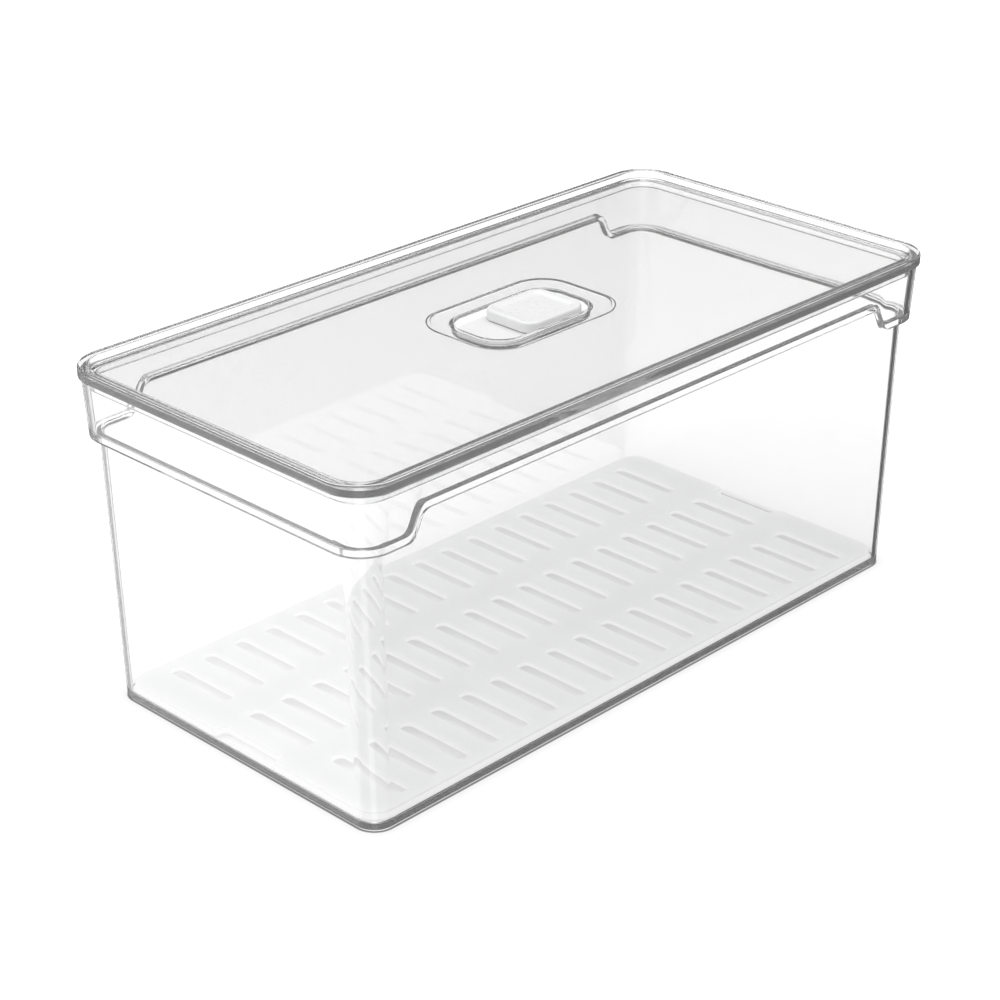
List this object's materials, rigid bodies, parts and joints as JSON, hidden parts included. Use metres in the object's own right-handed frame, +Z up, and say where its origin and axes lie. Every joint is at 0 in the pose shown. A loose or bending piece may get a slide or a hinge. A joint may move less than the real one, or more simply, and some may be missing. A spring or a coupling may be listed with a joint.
{
  "type": "lidded fridge storage bin",
  "caption": "Clear rectangular fridge bin with a stepped collar, a lift-off stackable lid with a sliding air vent, and a slotted drain tray.",
  "frame": {"origin": "middle of the tub's flat underside", "axes": "+X along the bin's length, towards the end where the vent slide rests closed; +Y across the bin; +Z up, out of the lid"},
  "size_m": [0.32, 0.16, 0.14],
  "materials": {
    "clear_body": "clear moulded plastic, polished",
    "clear_lid": "clear moulded plastic, polished",
    "liner_white": "opaque white moulded plastic",
    "slide_white": "opaque white moulded plastic, satin",
    "retainer_white": "opaque white moulded plastic",
    "frosted_tray": "frosted translucent white plastic"
  },
  "bodies": {
    "tub": {"bin_body": "clear_body"},
    "lid": {"lid": "clear_lid", "vent_liner": "liner_white"},
    "vent": {"vent_slide": "slide_white", "vent_retainer": "retainer_white"},
    "tray": {"drain_tray": "frosted_tray"}
  },
  "joints": [
    {"name": "lid_lift", "type": "slide", "parent": "tub", "child": "lid", "axis": [0, 0, 1], "range_m": [0, 0.08]},
    {"name": "vent_travel", "type": "slide", "parent": "lid", "child": "vent", "axis": [1, 0, 0], "range_m": [-0.016, 0]},
    {"name": "tray_lift", "type": "slide", "parent": "tub", "child": "tray", "axis": [0, 0, 1], "range_m": [0, 0.11]}
  ]
}
